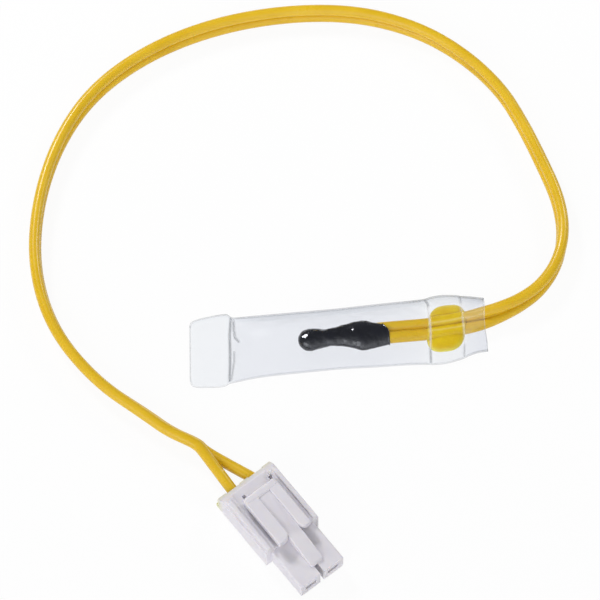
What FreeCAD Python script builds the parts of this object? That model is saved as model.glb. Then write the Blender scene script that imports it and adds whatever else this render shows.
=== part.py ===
"""Freezer temperature sensor: a dipped thermistor in a sealed clear sleeve, with a twin lead and a plug.

The sleeve lies along X with its flat underside on z = 0. All sizes are in millimetres.
"""
import math
import os

import FreeCAD
import Part

Vector = FreeCAD.Vector
UP = Vector(0, 0, 1)

# Driving dimensions of the clear sleeve
sleeve_length = 66.5
film = 0.35                  # wall of the film
underside_skim = 0.02        # taken off the underside, so that it is truly flat
tab_half_width = 8.2         # widest place of the sealed end
tube_half_width = 7.35       # narrowest place of the tube
press_half_width = 8.2       # where the film is pressed on the seal bead
mouth_half_width = 6.4       # open end round the lead
tab_length = 9.3             # from the cut end to the first crease
body_crown = 4.75            # height of the film over the dipped body
press_crown = 4.55           # height of the film over the seal bead
crease_dip = 0.3             # how far the film dips at a crease
seam_crown = 0.95            # two layers pressed together at the tab's crease
mouth_crown = 6.1
tab_crown = 1.25             # the two layers, sealed together and slightly pillowed
fold_radius = 0.9            # round side fold of the tube
flat_fold_radius = 0.42      # side fold where two layers lie on each other
end_waist = 0.9              # how far the tab narrows at its cut end
crease_waist = 0.45          # how far it narrows at the crease
opening_length = 3.5         # from the crease to where the tube is half open
full_length = 10.0           # from the crease to where it has its full crown
shoulder_length = 6.0        # the tube widens again over this length before the seal bead
shoulder_flare = 0.3
mouth_flap = 5.85            # from the pressed stretch to the open end

# Driving dimensions of the twin lead
wire_diameter = 2.5
wire_pitch = 2.6             # between the two wire axes while they are bonded side by side
strand_diameter = 0.95       # bare copper strands where the insulation is stripped

# Driving dimensions of the dipped sensor body
body_height = 2.2            # its axis above the floor
body_tip_x = -9.1
body_length = 20.0
body_half_width = 3.45
body_half_height = 1.8
# Its outline: shares of the length, of the half width and of the half height
body_profile = [
    (0.0, 0.26, 0.39),
    (0.02, 0.45, 0.67),
    (0.07, 0.64, 0.89),
    (0.13, 0.71, 0.97),
    (0.2, 0.68, 0.92),
    (0.32, 0.565, 0.81),
    (0.45, 0.65, 0.835),
    (0.58, 0.9, 0.945),
    (0.69, 1.0, 1.0),
    (0.82, 0.985, 0.97),
    (0.93, 0.915, 0.935),
    (1.0, 0.855, 0.89),
]
bead_radius = 1.15           # thermistor bead inside the head
bead_x = -6.3
bead_lead_diameter = 0.4
bead_lead_spread = 0.3       # share of the wire's offset at the bead
bead_lead_bend = 2.2         # from each end of the fine lead to its bend
strip_length = 3.4           # bare strands at the sensor end
solder_length = 2.8
solder_radius = 0.66
solder_taper = 0.75          # its end radius as a share of the full one

# Driving dimensions of the seal bead
press_length = 7.9
press_start = sleeve_length / 2 - mouth_flap - press_length
bead_side_room = 2.3         # from each side fold of the sleeve to the bead
bead_crown = 3.15            # thickness between the wires and the rim
bead_cover = 0.3             # yellow compound over each wire
bead_margin = 0.25           # from the bead to the creases
bead_lift = 0.1              # from the film's inside to the bead
collar_inset = 0.4           # from the bead's ends to the cover over a wire
# Its outline: share of the length, then of the half width and of the crown
bead_profile = [(0.0, 0.72, 0.75), (0.12, 0.9, 0.92), (0.5, 1.0, 1.0), (0.85, 0.9, 0.92), (1.0, 0.68, 0.75)]

# Driving dimensions of the plug housing, in its own axes: x forward, y across, z up
plug_x = -24.9
plug_y = -31.5
plug_heading = -57.5
housing_rear = 1.3
housing_front = 28.6
rail_end = 18.4              # front end of the side rails
housing_half_width = 7.1
rail_height = 8.2
rail_wall = 1.0
rail_draft = 0.15            # how much each side of a rail leans in
shoulder_height = 6.3        # outer shoulder below the rail's ridge
shoulder_step = 0.5
shoulder_lip = 0.3           # raised inner edge of the shoulder
ledge_height = 7.3
ledge_width = 0.9
deck_height = 6.4            # deck under the latch
tower_half_width = 5.7       # both towers together
tower_bottom = 0.6
tower_top = 5.8
tower_gap = 1.0
tower_gap_depth = 3.3
tower_rounding = 0.5
tip_chamfer = 0.35
contact_pitch = 6.0
cavity_height = 3.2          # axis of the contacts above the floor
cavity_width = 3.9
cavity_front_wall = 2.2
mouth_width = 2.8            # slot in a tower's tip for the mating blade
mouth_height = 1.5
rear_slope_length = 2.0
rear_slope_drop = 3.4
skirt_length = 0.5
skirt_height = 1.5
window_start = 19.6          # opening below each contact's catch
window_length = 3.0
window_width = 2.2
pocket_start = 4.0           # small moulding pockets behind the thumb bar
pocket_length = 0.9
pocket_width = 0.7
pocket_offset = 4.4
pocket_depth = 1.4

# Driving dimensions of the latch moulded on the housing
latch_half_width = 4.1
latch_top = 9.1
latch_gap = 0.8              # free height under the fingers
finger_start = 7.0
finger_end = 19.0
rib_half_width = 1.85        # middle arm, which ramps down to a nose between the towers
rib_top = 8.1
nose_top = 6.5
nose_end = 26.4
bar_start = 5.3
bar_length = 2.3
bar_half_width = 4.9
bar_top = 9.5
bar_rounding = 0.6
finger_rounding = 1.1
nose_chamfer = 0.6
root_overlap = 1.0           # how far towers, fingers and nose reach into what they stand on

# Driving dimensions of a crimp contact
contact_width = 2.7
contact_box_height = 2.2
contact_wall = 0.3
contact_box_length = 9.0
crimp_length = 2.2
insulation_crimp_length = 1.6
contact_gap = 0.2            # from the contact's nose to the cavity's front wall
contact_neck_width = 1.2
contact_riser_width = 0.8    # below the strand crimp
wire_end_depth = 5.3         # how far the insulation goes into the housing
strand_end_length = 3.6
entry_reach = 0.6            # where a wire turns towards its contact, behind the housing
entry_offset_a = 3.1         # from the housing's middle line to wire a there
entry_offset_b = 2.5

# Middle of the bonded pair: x, y, z and the roll of wire a about wire b in degrees.
# Roll 0 puts wire a on the outer side of the loop, 90 puts it on top and 180 on the inner side.
pair_route = [
    (6.0, 0.0, 2.2, 180),
    (13.0, 0.0, 2.2, 180),
    (19.5, -0.1, 2.2, 180),
    (25.0, 0.2, 2.2, 177),
    (29.0, 0.7, 2.25, 167),
    (32.5, 1.35, 2.45, 146),
    (36.0, 2.3, 2.6, 122),
    (40.5, 4.0, 2.6, 107),
    (45.7, 7.2, 2.55, 98),
    (50.3, 13.0, 2.55, 91),
    (52.7, 20.5, 2.55, 86),
    (52.5, 29.0, 2.55, 86),
    (50.0, 38.5, 2.55, 88),
    (47.0, 48.5, 2.55, 90),
    (43.1, 58.2, 2.55, 93),
    (35.5, 68.0, 2.55, 91),
    (25.6, 75.8, 2.55, 88),
    (12.4, 81.1, 2.55, 85),
    (-3.5, 82.7, 2.55, 84),
    (-20.4, 81.0, 2.55, 81),
    (-36.3, 75.6, 2.55, 82),
    (-49.6, 66.6, 2.55, 85),
    (-58.5, 54.2, 2.55, 89),
    (-64.0, 39.3, 2.55, 90),
    (-65.9, 23.5, 2.55, 87),
    (-62.8, 8.0, 2.55, 80),
    (-54.0, -5.6, 2.5, 74),
    (-43.8, -14.4, 2.46, 68),
    (-38.6, -18.4, 2.46, 68),
    (-34.6, -21.6, 2.46, 68),
]
# From the split each wire runs alone into its own cavity of the housing.
split_route_a = [(-31.8, -25.1, 3.8), (-29.4, -29.5, 3.5)]
split_route_b = [(-31.6, -24.0, 1.27), (-26.9, -28.0, 2.25)]
bend_share = 0.45            # of the shorter run, taken by the arc at each point


def polar(length, degrees):
    """Horizontal vector of a length at an angle from +X."""
    turn = math.radians(degrees)
    return Vector(length * math.cos(turn), length * math.sin(turn), 0)


def plug_point(x, y, z):
    """Point of the housing's own axes in the row frame."""
    return Vector(plug_x, plug_y, 0) + polar(x, plug_heading) + polar(y, plug_heading + 90) + UP * z


def place_plug(shape):
    """Copy of a shape from the housing's own axes, set at the plug's place."""
    placed = shape.copy()
    placed.rotate(Vector(0, 0, 0), UP, plug_heading)
    placed.translate(Vector(plug_x, plug_y, 0))
    return placed


def unit(vector):
    """Vector of length one along the given one."""
    return vector * (1.0 / vector.Length)


def wire_points(side):
    """Corner points of wire a (side 1) or wire b (side -1), from the sensor to the contact."""
    middles = [Vector(x, y, z) for x, y, z, roll in pair_route]
    points = []
    for index, middle in enumerate(middles):
        before = middles[max(index - 1, 0)]
        after = middles[min(index + 1, len(middles) - 1)]
        along = unit(Vector(after.x - before.x, after.y - before.y, 0))
        outward = Vector(along.y, -along.x, 0)
        roll = math.radians(pair_route[index][3])
        reach = outward * math.cos(roll) + UP * math.sin(roll)
        points.append(middle + reach * (side * wire_pitch / 2))
    points += [Vector(*point) for point in (split_route_a if side > 0 else split_route_b)]
    entry_y = -entry_offset_a if side > 0 else entry_offset_b
    points.append(plug_point(housing_rear - entry_reach, entry_y, cavity_height))
    points.append(plug_point(housing_rear + wire_end_depth, -side * contact_pitch / 2, cavity_height))
    return points


def tube_path(points, name):
    """Wire of straight runs joined by tangent arcs, each as large as its two runs allow."""
    edges = []
    last = points[0]
    radii = []
    for before, corner, after in zip(points, points[1:], points[2:]):
        inward = unit(before - corner)
        outward = unit(after - corner)
        shorter = min((before - corner).Length, (after - corner).Length)
        cut = bend_share * shorter
        half_turn = (math.pi - inward.getAngle(outward)) / 2
        start = corner + inward * cut
        end = corner + outward * cut
        radius = cut / math.tan(half_turn)
        centre = corner + unit(inward + outward) * (radius / math.cos(half_turn))
        middle = centre + unit(corner - centre) * radius
        edges.append(Part.LineSegment(last, start).toShape())
        edges.append(Part.Arc(start, middle, end).toShape())
        radii.append(radius)
        last = end
    edges.append(Part.LineSegment(last, points[-1]).toShape())
    print(name, "arc radii", " ".join("%.0f" % radius for radius in radii))
    return Part.Wire(edges)


def tube(points, diameter, name):
    """Round solid of a diameter along the path through the points."""
    path = tube_path(points, name)
    start = unit(points[1] - points[0])
    ring = Part.Wire(Part.makeCircle(diameter / 2, points[0], start))
    solid = path.makePipeShell([ring], True, False)
    expected = math.pi * diameter * diameter / 4 * path.Length
    print(name, "length %.1f" % path.Length, "volume ratio %.4f" % (solid.Volume / expected))
    return solid


def film_section(x, half_width, side_radius, crown, inset):
    """Closed outline of the sleeve across X: flat below, round side folds and a crowned top."""
    half = half_width - inset
    fold = side_radius - inset
    top = crown - inset
    low = inset
    reach = half - fold
    rise = top - low
    radius = (reach ** 2 + (rise - fold) ** 2 - fold ** 2) / (2 * (rise - 2 * fold))
    centre_z = top - radius
    tilt = math.atan2(reach, low + fold - centre_z)
    join_y = reach + fold * math.sin(tilt)
    join_z = low + fold + fold * math.cos(tilt)
    middle = (math.pi + tilt) / 2
    side_y = reach + fold * math.sin(middle)
    side_z = low + fold + fold * math.cos(middle)
    floor = Part.LineSegment(Vector(x, -reach, low), Vector(x, reach, low))
    right = Part.Arc(Vector(x, reach, low), Vector(x, side_y, side_z), Vector(x, join_y, join_z))
    over = Part.Arc(Vector(x, join_y, join_z), Vector(x, 0, top), Vector(x, -join_y, join_z))
    left = Part.Arc(Vector(x, -join_y, join_z), Vector(x, -side_y, side_z), Vector(x, -reach, low))
    return Part.Wire([floor.toShape(), right.toShape(), over.toShape(), left.toShape()])


def film_loft(stations, inset, ends=(0.0, 0.0)):
    """Smooth solid through the film's sections, its ends moved along X by the two amounts."""
    shifted = [list(station) for station in stations]
    shifted[0][0] += ends[0]
    shifted[-1][0] += ends[1]
    return Part.makeLoft([film_section(*station, inset) for station in shifted], True, False)


def sleeve_stations():
    """Sections of each stretch of the sleeve: x, half width, fold radius and crown."""
    left = -sleeve_length / 2
    right = sleeve_length / 2
    crease = left + tab_length
    press_end = press_start + press_length
    seam = seam_crown
    waist = tube_half_width
    fold = fold_radius
    flat = flat_fold_radius
    dip = press_crown - crease_dip
    press_side = press_half_width - crease_dip
    tab = [(left, tab_half_width - end_waist, flat, seam),
           (left + 0.35 * tab_length, tab_half_width - 0.3 * end_waist, flat, tab_crown),
           (left + 0.75 * tab_length, tab_half_width, flat, tab_crown),
           (crease, tab_half_width - crease_waist, flat, seam)]
    tube_part = [(crease, tab_half_width - crease_waist, flat, seam),
                 (crease + opening_length, waist + shoulder_flare, 0.7 * fold, 0.55 * body_crown),
                 (crease + full_length, waist, fold, 0.97 * body_crown),
                 (body_tip_x + 0.55 * body_length, waist, fold, body_crown),
                 (press_start - shoulder_length, waist + shoulder_flare, fold, 0.98 * body_crown),
                 (press_start, press_side, 0.75 * fold, dip)]
    press = [(press_start, press_side, 0.75 * fold, dip),
             (press_start + 0.5 * press_length, press_half_width, 0.75 * fold, press_crown),
             (press_end, press_side, 0.75 * fold, dip)]
    flap = [(press_end, press_side, 0.75 * fold, dip),
            (press_end + 0.5 * (right - press_end), 0.5 * (press_half_width + mouth_half_width), fold,
             0.5 * (dip + mouth_crown)),
            (right, mouth_half_width, fold, mouth_crown)]
    return tab, tube_part, press, flap


def make_sleeve():
    """Clear sleeve: flat sealed tab, crowned tube, pressed stretch and open mouth."""
    tab, tube_part, press, flap = sleeve_stations()
    outer = film_loft(tab, 0)
    for stretch in (tube_part, press, flap):
        outer = outer.fuse(film_loft(stretch, 0))
    overrun = 0.01
    hollow = film_loft(tube_part, film, (overrun, 0))
    hollow = hollow.fuse(film_loft(press, film))
    hollow = hollow.fuse(film_loft(flap, film))
    end = film_section(*flap[-1], film)
    hollow = hollow.fuse(Part.Face(end).extrude(Vector(1, 0, 0)))
    below = box(-sleeve_length, sleeve_length, -tab_half_width, tab_half_width, -1, underside_skim)
    sleeve = outer.cut([hollow, below])
    sleeve.translate(UP * -underside_skim)
    return sleeve


def oval(x, half_width, half_height):
    """Elliptic outline across X about the body's axis."""
    centre = Vector(x, 0, body_height)
    side = centre + Vector(0, half_width, 0)
    top = centre + Vector(0, 0, half_height)
    return Part.Wire(Part.Ellipse(side, top, centre).toShape())


def make_dip():
    """Outer form of the black dip coat: round head, slimmer neck and full shoulder."""
    sections = [oval(body_tip_x + share * body_length, wide * body_half_width, high * body_half_height)
                for share, wide, high in body_profile]
    return Part.makeLoft(sections, True, False)


def sensor_end(side):
    """Start point of a wire's insulation inside the dip coat, and the way its strands point."""
    points = wire_points(side)
    return points[0], unit(points[0] - points[1])


def make_strand_tip(side):
    """Bare copper strands between a wire's insulation and its solder joint."""
    start, inward = sensor_end(side)
    return Part.makeCylinder(strand_diameter / 2, strip_length, start, inward)


def make_bead_lead(side):
    """Fine lead from the thermistor bead to the end of the bare strands."""
    start, inward = sensor_end(side)
    end = start + inward * strip_length
    root = Vector(bead_x + 0.8 * bead_radius, bead_lead_spread * end.y, body_height)
    waist = Vector(root.x + bead_lead_bend, 1.4 * bead_lead_spread * end.y, body_height)
    spread = Vector(end.x - bead_lead_bend, end.y, body_height)
    return tube([root, waist, spread, end], bead_lead_diameter, "bead lead")


def make_solder(side):
    """Barrel of solder round the joint of a bead lead and the bare strands."""
    start, inward = sensor_end(side)
    joint = start + inward * strip_length
    half = solder_length / 2
    end_radius = solder_taper * solder_radius
    start = Vector(joint.x - half, 0, 0)
    finish = Vector(joint.x + half, 0, 0)
    outline = [Part.LineSegment(start, start + Vector(0, end_radius, 0)).toShape(),
               Part.Arc(start + Vector(0, end_radius, 0), Vector(joint.x, solder_radius, 0),
                        finish + Vector(0, end_radius, 0)).toShape(),
               Part.LineSegment(finish + Vector(0, end_radius, 0), finish).toShape(),
               Part.LineSegment(finish, start).toShape()]
    barrel = Part.Face(Part.Wire(outline)).revolve(Vector(0, 0, 0), Vector(1, 0, 0), 360)
    barrel.translate(Vector(0, joint.y, joint.z))
    return barrel


def make_seal_bead(wires):
    """Flattened yellow sealing bead pressed round both wires inside the sleeve."""
    start = press_start + bead_margin
    length = press_length - 2 * bead_margin
    low = film + bead_lift
    bead_half_width = press_half_width - bead_side_room
    sections = []
    for share, wide, high in bead_profile:
        half_width = bead_half_width * wide
        half_height = bead_crown * high / 2
        centre = Vector(start + share * length, 0, low + bead_crown / 2)
        side = centre + Vector(0, half_width, 0)
        top = centre + Vector(0, 0, half_height)
        sections.append(Part.Wire(Part.Ellipse(side, top, centre).toShape()))
    bead = Part.makeLoft(sections, True, False)
    collars = []
    for side in (1, -1):
        points = wire_points(side)
        along = unit(points[3] - points[2])
        begin = points[2] + along * (start + collar_inset - points[2].x)
        collars.append(Part.makeCylinder(wire_diameter / 2 + bead_cover, length - 2 * collar_inset,
                                         begin, along))
    bead = bead.fuse(collars)
    return bead.cut(wires)


def box(x0, x1, y0, y1, z0, z1):
    """Block between two corners."""
    return Part.makeBox(x1 - x0, y1 - y0, z1 - z0, Vector(x0, y0, z0))


def prism(points, direction):
    """Solid made by drawing a flat outline along a direction."""
    corners = [Vector(*point) for point in points]
    return Part.Face(Part.makePolygon(corners + corners[:1])).extrude(direction)


def rounded_block(x0, x1, y0, y1, z0, z1, radius, axis):
    """Block whose edges along one axis are rounded."""
    block = box(x0, x1, y0, y1, z0, z1)
    edges = [edge for edge in block.Edges if abs(edge.tangentAt(edge.FirstParameter).dot(axis)) > 0.9]
    return block.makeFillet(radius, edges)


def make_rail_body():
    """Wide rear stretch: shoulders, ridged side rails and the deck between them."""
    ridge_out = housing_half_width - shoulder_step
    ridge_in = ridge_out - rail_wall
    slot_side = ridge_in - ledge_width
    right = [(housing_half_width, 0),
             (housing_half_width, shoulder_height),
             (ridge_out + shoulder_lip / 2, shoulder_height + shoulder_lip),
             (ridge_out, shoulder_height + shoulder_lip / 2),
             (ridge_out - rail_draft, rail_height),
             (ridge_in + rail_draft, rail_height),
             (ridge_in, ledge_height),
             (slot_side, ledge_height),
             (slot_side, deck_height)]
    left = [(-y, z) for y, z in reversed(right)]
    outline = [(housing_rear, y, z) for y, z in right + left]
    body = prism(outline, Vector(rail_end - housing_rear, 0, 0))
    slope = [(housing_rear, -housing_half_width, rail_height - rear_slope_drop),
             (housing_rear + rear_slope_length, -housing_half_width, rail_height),
             (housing_rear, -housing_half_width, rail_height)]
    body = body.cut(prism(slope, Vector(0, 2 * housing_half_width, 0)))
    skirt = box(housing_rear - skirt_length, housing_rear, -housing_half_width, housing_half_width,
                0, skirt_height)
    return body.fuse(skirt)


def make_towers():
    """Two contact towers, joined at the root and parted by a short gap at the front."""
    along = Vector(1, 0, 0)
    towers = rounded_block(rail_end - root_overlap, housing_front, -tower_half_width, tower_half_width,
                           tower_bottom, tower_top, tower_rounding, along)
    front = [edge for edge in towers.Edges if edge.BoundBox.XMin > housing_front - 0.001]
    towers = towers.makeChamfer(tip_chamfer, front)
    gap = box(housing_front - tower_gap_depth, housing_front, -tower_gap / 2, tower_gap / 2,
              tower_bottom, tower_top)
    return towers.cut(gap)


def make_latch():
    """Latch on the deck: two raised fingers, a rib between them and a thumb bar at the rear."""
    across = Vector(0, 1, 0)
    rib_foot = tower_top - tower_rounding
    outline = [(bar_start, rib_foot), (bar_start, rib_top), (finger_end, rib_top),
               (nose_end - nose_chamfer, nose_top), (nose_end, nose_top - nose_chamfer), (nose_end, rib_foot)]
    rib = prism([(x, -rib_half_width, z) for x, z in outline], across * (2 * rib_half_width))
    bar = rounded_block(bar_start, bar_start + bar_length, -bar_half_width, bar_half_width,
                        deck_height, bar_top, bar_rounding, across)
    parts = [bar]
    for side in (1, -1):
        low = min(side * rib_half_width, side * latch_half_width)
        high = max(side * rib_half_width, side * latch_half_width)
        finger = box(finger_start - root_overlap, finger_end, low, high, deck_height + latch_gap, latch_top)
        upright = [edge for edge in finger.Edges
                   if edge.BoundBox.XMin > finger_end - 0.001
                   and abs(edge.tangentAt(edge.FirstParameter).z) > 0.9]
        parts.append(finger.makeFillet(finger_rounding, upright))
    return rib.fuse(parts)


def make_cavity(side):
    """Room for one contact, with its blade mouth in the tower's tip and its lance window below."""
    centre = side * contact_pitch / 2
    half = cavity_width / 2
    room = box(housing_rear - skirt_length, housing_front - cavity_front_wall, centre - half, centre + half,
               cavity_height - half, cavity_height + half)
    mouth = box(housing_front - cavity_front_wall, housing_front, centre - mouth_width / 2,
                centre + mouth_width / 2, cavity_height - mouth_height / 2, cavity_height + mouth_height / 2)
    window = box(window_start, window_start + window_length, centre - window_width / 2,
                 centre + window_width / 2, 0, cavity_height)
    return room.fuse([mouth, window])


def make_housing():
    """White two-way plug housing moulded in one piece with its latch."""
    housing = make_rail_body().fuse([make_towers(), make_latch()])
    for side in (1, -1):
        middle = side * pocket_offset
        pocket = box(pocket_start, pocket_start + pocket_length, middle - pocket_width / 2,
                     middle + pocket_width / 2, deck_height - pocket_depth, rail_height)
        housing = housing.cut([make_cavity(side), pocket])
    return place_plug(housing.removeSplitter())


def make_contact(side):
    """Crimp contact: box for the blade, neck, strand crimp and insulation crimp."""
    centre = -side * contact_pitch / 2
    nose = housing_front - cavity_front_wall - contact_gap
    root = nose - contact_box_length
    half = contact_width / 2
    low = cavity_height - contact_box_height / 2
    shell = box(root, nose, centre - half, centre + half, low, low + contact_box_height)
    shell = shell.cut(box(root, nose, centre - half + contact_wall, centre + half - contact_wall,
                          low + contact_wall, low + contact_box_height - contact_wall))
    wire_end = housing_rear + wire_end_depth
    axis_point = Vector(wire_end, centre, cavity_height)
    along = Vector(1, 0, 0)
    strand_radius = strand_diameter / 2
    crimp_start = axis_point + along * (strand_end_length - crimp_length)
    crimp = Part.makeCylinder(strand_radius + 2 * contact_wall, crimp_length, crimp_start, along)
    crimp = crimp.cut(Part.makeCylinder(strand_radius, crimp_length, crimp_start, along))
    wrap_start = axis_point - along * (insulation_crimp_length + contact_gap)
    wrap = Part.makeCylinder(wire_diameter / 2 + contact_wall, insulation_crimp_length, wrap_start, along)
    wrap = wrap.cut(Part.makeCylinder(wire_diameter / 2, insulation_crimp_length, wrap_start, along))
    floor_top = low + contact_wall
    strip = box(wrap_start.x, root, centre - contact_neck_width / 2, centre + contact_neck_width / 2,
                low, floor_top)
    strip = strip.cut(Part.makeCylinder(wire_diameter / 2, wire_end - wrap_start.x, wrap_start, along))
    strip = strip.cut(Part.makeCylinder(strand_radius, strand_end_length, axis_point, along))
    riser_top = cavity_height - strand_radius
    riser = box(crimp_start.x, crimp_start.x + crimp_length, centre - contact_riser_width / 2,
                centre + contact_riser_width / 2, low, riser_top)
    riser = riser.cut(Part.makeCylinder(strand_radius, crimp_length, crimp_start, along))
    return place_plug(shell.fuse([strip, riser, crimp, wrap]).removeSplitter())


def make_strand_end(side):
    """Bare copper strands held by a contact's crimp."""
    start = wire_points(side)[-1]
    return Part.makeCylinder(strand_diameter / 2, strand_end_length, start, polar(1, plug_heading))


def build():
    """All nodes of the part, by name."""
    wires = {1: tube(wire_points(1), wire_diameter, "wire_a"),
             -1: tube(wire_points(-1), wire_diameter, "wire_b")}
    bead = Part.makeSphere(bead_radius, Vector(bead_x, 0, body_height))
    parts = {"sleeve": make_sleeve(), "seal_bead": make_seal_bead(list(wires.values()))}
    inner = [bead] + list(wires.values())
    for side, letter in ((1, "a"), (-1, "b")):
        lead = make_bead_lead(side)
        strands = make_strand_tip(side)
        solder = make_solder(side)
        inner += [lead, strands, solder]
        parts["bead_lead_" + letter] = lead.cut([bead, strands])
        parts["strand_tip_" + letter] = strands
        parts["solder_joint_" + letter] = solder.cut([lead, strands])
        parts["wire_" + letter] = wires[side]
        parts["strand_end_" + letter] = make_strand_end(side).cut(wires[side])
        parts["contact_" + letter] = make_contact(side).cut(wires[side])
    parts["thermistor_bead"] = bead
    parts["epoxy_body"] = make_dip().cut(inner)
    parts["housing"] = make_housing()
    return parts


def main():
    """Write one STEP file for each node."""
    os.makedirs("parts", exist_ok=True)
    for name, shape in build().items():
        solids = shape.Solids
        print("%-16s solids %d valid %s volume %.2f" % (name, len(solids), shape.isValid(), shape.Volume))
        if len(solids) == 1:
            shape = solids[0]
        shape.exportStep("parts/%s.step" % name)


main()
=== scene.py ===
import math

import bpy
from mathutils import Matrix, Vector, noise


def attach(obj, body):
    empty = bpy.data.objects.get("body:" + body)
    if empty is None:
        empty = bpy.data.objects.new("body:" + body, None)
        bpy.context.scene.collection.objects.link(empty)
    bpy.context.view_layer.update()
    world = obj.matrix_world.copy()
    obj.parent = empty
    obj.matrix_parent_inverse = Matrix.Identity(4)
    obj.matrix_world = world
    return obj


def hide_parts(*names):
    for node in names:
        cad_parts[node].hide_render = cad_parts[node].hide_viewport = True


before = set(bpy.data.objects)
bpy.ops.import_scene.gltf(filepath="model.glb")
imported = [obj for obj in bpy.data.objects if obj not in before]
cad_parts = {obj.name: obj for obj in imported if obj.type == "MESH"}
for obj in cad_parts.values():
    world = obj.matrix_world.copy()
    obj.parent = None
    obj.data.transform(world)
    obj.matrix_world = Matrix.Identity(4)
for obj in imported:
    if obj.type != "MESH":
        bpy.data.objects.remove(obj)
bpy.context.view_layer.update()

mm = 0.001


# Camera: looks down on the part from the front, as in the photo

cameraSet = {
    "azimuth": -5.75,          # degrees round the part
    "elevation": 65.0,
    "distance": 700 * mm,
    "lens": 189.0,
    "target": (-7.596 * mm, 10.844 * mm, 0.0),
}


def makeCamera():
    turn = math.radians(cameraSet["azimuth"])
    rise = math.radians(cameraSet["elevation"])
    back = Vector((math.sin(turn) * math.cos(rise), -math.cos(turn) * math.cos(rise), math.sin(rise)))
    bpy.ops.object.camera_add()
    camera = bpy.context.object
    camera.name = "viewCamera"
    camera.data.lens = cameraSet["lens"]
    camera.data.sensor_width = 36.0
    camera.location = Vector(cameraSet["target"]) + back * cameraSet["distance"]
    camera.rotation_euler = (-back).to_track_quat("-Z", "Y").to_euler()
    bpy.context.scene.camera = camera
    print("camera set")


# Small helpers for modelling

def pickOnly(piece):
    bpy.ops.object.select_all(action="DESELECT")
    piece.select_set(True)
    bpy.context.view_layer.objects.active = piece


def settle(piece):
    pickOnly(piece)
    bpy.ops.object.transform_apply(location=True, rotation=True, scale=True)


def finishWith(piece, kind, **values):
    pickOnly(piece)
    bpy.ops.object.modifier_add(type=kind)
    modifier = piece.modifiers[-1]
    for name, value in values.items():
        setattr(modifier, name, value)
    bpy.ops.object.modifier_apply(modifier=modifier.name)


def clearPicks(piece):
    bpy.ops.object.mode_set(mode="OBJECT")
    mesh = piece.data
    for part in (mesh.vertices, mesh.edges, mesh.polygons):
        part.foreach_set("select", [False] * len(part))
    return mesh


def selectFaces(piece, test):
    for face in clearPicks(piece).polygons:
        face.select = test(face.center, face.normal)
    bpy.ops.object.mode_set(mode="EDIT")
    bpy.ops.mesh.select_mode(type="FACE")


def selectEdges(piece, test):
    mesh = clearPicks(piece)
    for edge in mesh.edges:
        ends = [mesh.vertices[index].co for index in edge.vertices]
        edge.select = test(ends[0], ends[1])
    bpy.ops.object.mode_set(mode="EDIT")
    bpy.ops.mesh.select_mode(type="EDGE")


def recalculate(piece):
    pickOnly(piece)
    bpy.ops.object.mode_set(mode="EDIT")
    bpy.ops.mesh.select_all(action="SELECT")
    bpy.ops.mesh.remove_doubles(threshold=0.0005 * mm)
    bpy.ops.mesh.normals_make_consistent(inside=False)
    bpy.ops.object.mode_set(mode="OBJECT")


def shareBetween(value, low, high):
    share = min(max((value - low) / (high - low), 0.0), 1.0)
    return share * share * (3 - 2 * share)


def rowAt(rows, place):
    # smooth curve through the rows of a table, by their first column
    index = 0
    while index < len(rows) - 2 and rows[index + 1][0] <= place:
        index += 1
    start, end = rows[index], rows[index + 1]
    before = rows[max(index - 1, 0)]
    after = rows[min(index + 2, len(rows) - 1)]
    span = end[0] - start[0]
    t = min(max((place - start[0]) / span, 0.0), 1.0)
    values = []
    for column in range(1, len(start)):
        tangentStart = (end[column] - before[column]) / (end[0] - before[0]) * span
        tangentEnd = (after[column] - start[column]) / (after[0] - start[0]) * span
        values.append((2 * t ** 3 - 3 * t ** 2 + 1) * start[column] + (t ** 3 - 2 * t ** 2 + t) * tangentStart
                      + (3 * t ** 2 - 2 * t ** 3) * end[column] + (t ** 3 - t ** 2) * tangentEnd)
    return values


# Materials: patterns read Object coordinates, in metres, and attributes kept on the mesh

def newMaterial(name, color, roughness):
    material = bpy.data.materials.new(name)
    material.use_nodes = True
    shader = material.node_tree.nodes["Principled BSDF"]
    shader.inputs["Base Color"].default_value = (*color, 1)
    shader.inputs["Roughness"].default_value = roughness
    return material, shader


def addNode(material, kind, **values):
    node = material.node_tree.nodes.new(kind)
    for name, value in values.items():
        setattr(node, name, value)
    return node


def link(material, start, end):
    material.node_tree.links.new(start, end)


def addNoise(material, size, detail=2.0, stretch=(1, 1, 1)):
    # noise whose patches are about size metres wide
    place = addNode(material, "ShaderNodeTexCoord")
    mapping = addNode(material, "ShaderNodeMapping")
    mapping.inputs["Scale"].default_value = stretch
    pattern = addNode(material, "ShaderNodeTexNoise")
    pattern.inputs["Scale"].default_value = 1 / size
    pattern.inputs["Detail"].default_value = detail
    link(material, place.outputs["Object"], mapping.inputs["Vector"])
    link(material, mapping.outputs["Vector"], pattern.inputs["Vector"])
    return pattern.outputs["Fac"]


def addRange(material, source, low, high, start=0.3, end=0.7):
    spread = addNode(material, "ShaderNodeMapRange")
    spread.inputs["From Min"].default_value = start
    spread.inputs["From Max"].default_value = end
    spread.inputs["To Min"].default_value = low
    spread.inputs["To Max"].default_value = high
    link(material, source, spread.inputs["Value"])
    return spread.outputs["Result"]


def addMath(material, operation, first, second):
    node = addNode(material, "ShaderNodeMath", operation=operation)
    for socket, value in zip(node.inputs, (first, second)):
        if hasattr(value, "links"):
            link(material, value, socket)
        else:
            socket.default_value = value
    return node.outputs[0]


def mixColors(material, share, first, second):
    node = addNode(material, "ShaderNodeMix", data_type="RGBA")
    link(material, share, node.inputs["Factor"])
    for socket, value in ((node.inputs[6], first), (node.inputs[7], second)):
        if hasattr(value, "links"):
            link(material, value, socket)
        else:
            socket.default_value = (*value, 1)
    return node.outputs[2]


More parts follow.
